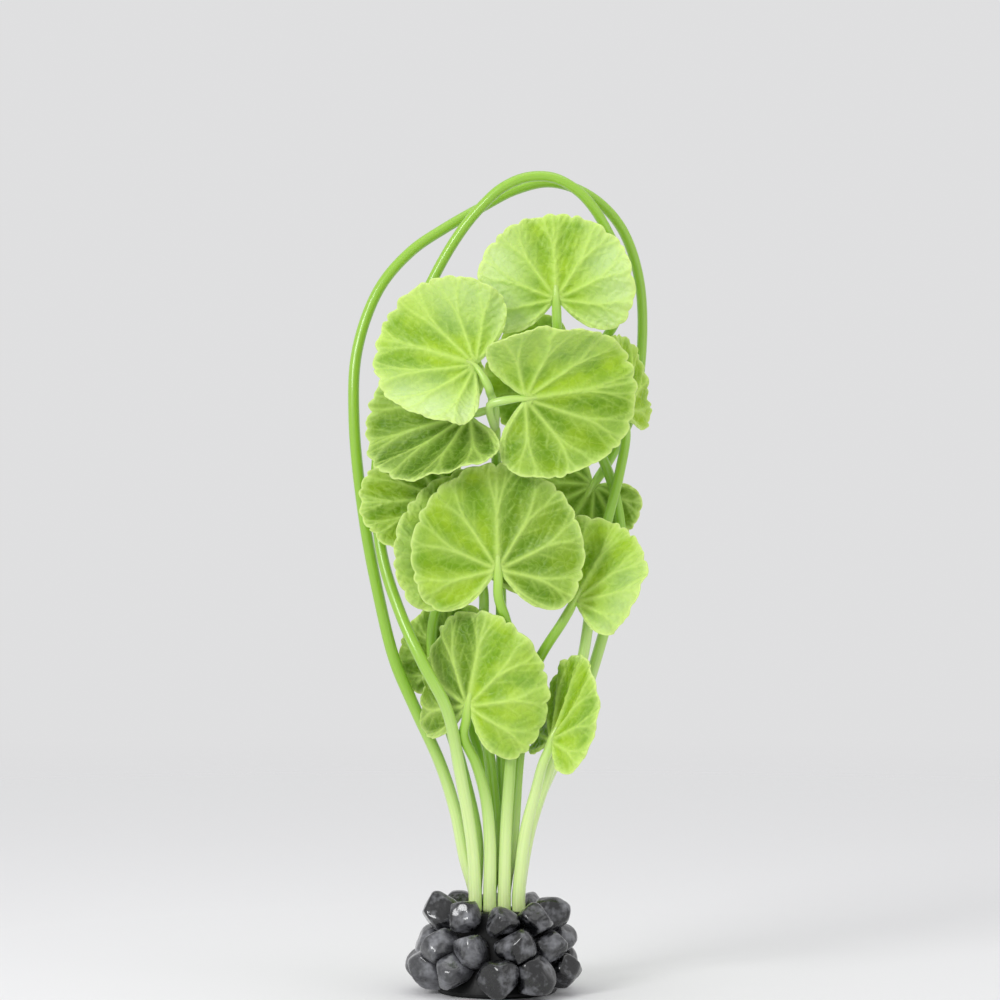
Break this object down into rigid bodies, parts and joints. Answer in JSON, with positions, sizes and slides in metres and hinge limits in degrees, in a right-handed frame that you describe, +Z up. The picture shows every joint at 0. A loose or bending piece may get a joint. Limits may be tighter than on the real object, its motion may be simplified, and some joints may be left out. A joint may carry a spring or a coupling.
{
  "type": "artificial lawn pennywort aquarium plant",
  "caption": "Soft plastic lawn pennywort for an aquarium: round veined leaves on long bent stems, rising as one bundle from a weighted heap of dark pebbles.",
  "frame": {"origin": "middle of the flat underside of the resin bed, on the ground", "axes": "+Z up, front towards -Y, +X to the right seen from the front"},
  "size_m": [0.0616, 0.0391, 0.1647],
  "materials": {
    "leaf_plastic": "satin",
    "stem_plastic": "satin",
    "resin": "satin",
    "pebbles": "gloss"
  },
  "bodies": {
    "root": {"resin_bed": "resin", "pebble_low_01": "pebbles", "pebble_low_02": "pebbles", "pebble_low_03": "pebbles", "pebble_low_04": "pebbles", "pebble_low_05": "pebbles", "pebble_low_06": "pebbles", "pebble_low_07": "pebbles", "pebble_low_08": "pebbles", "pebble_low_09": "pebbles", "pebble_low_10": "pebbles", "pebble_middle_01": "pebbles", "pebble_middle_02": "pebbles", "pebble_middle_03": "pebbles", "pebble_middle_04": "pebbles", "pebble_middle_05": "pebbles", "pebble_middle_06": "pebbles", "pebble_middle_07": "pebbles", "pebble_middle_08": "pebbles", "pebble_middle_09": "pebbles", "pebble_high_01": "pebbles", "pebble_high_02": "pebbles", "pebble_high_03": "pebbles", "pebble_high_04": "pebbles", "pebble_high_05": "pebbles", "pebble_high_06": "pebbles", "pebble_high_07": "pebbles", "pebble_high_08": "pebbles", "stem_arch_outer": "stem_plastic", "stem_arch_inner": "stem_plastic", "stem_fork": "stem_plastic", "stem_centre": "stem_plastic", "stem_folded_centre": "stem_plastic", "stem_folded_right": "stem_plastic", "stem_right_edge": "stem_plastic", "stem_lower_right": "stem_plastic", "stem_lower_left": "stem_plastic", "stem_behind_centre": "stem_plastic", "stem_top_right": "stem_plastic", "stem_back_lower": "stem_plastic", "petiole_upper_left": "stem_plastic", "petiole_centre_right": "stem_plastic", "petiole_left": "stem_plastic", "leaf_upper_left": "leaf_plastic", "leaf_top_right": "leaf_plastic", "leaf_centre_right": "leaf_plastic", "leaf_left": "leaf_plastic", "leaf_lower_left": "leaf_plastic", "leaf_centre": "leaf_plastic", "leaf_behind_centre": "leaf_plastic", "leaf_lower_right": "leaf_plastic", "leaf_folded_centre": "leaf_plastic", "leaf_folded_right": "leaf_plastic", "leaf_right_edge": "leaf_plastic", "leaf_back_upper": "leaf_plastic", "leaf_back_middle": "leaf_plastic", "leaf_back_lower": "leaf_plastic"}
  },
  "joints": []
}
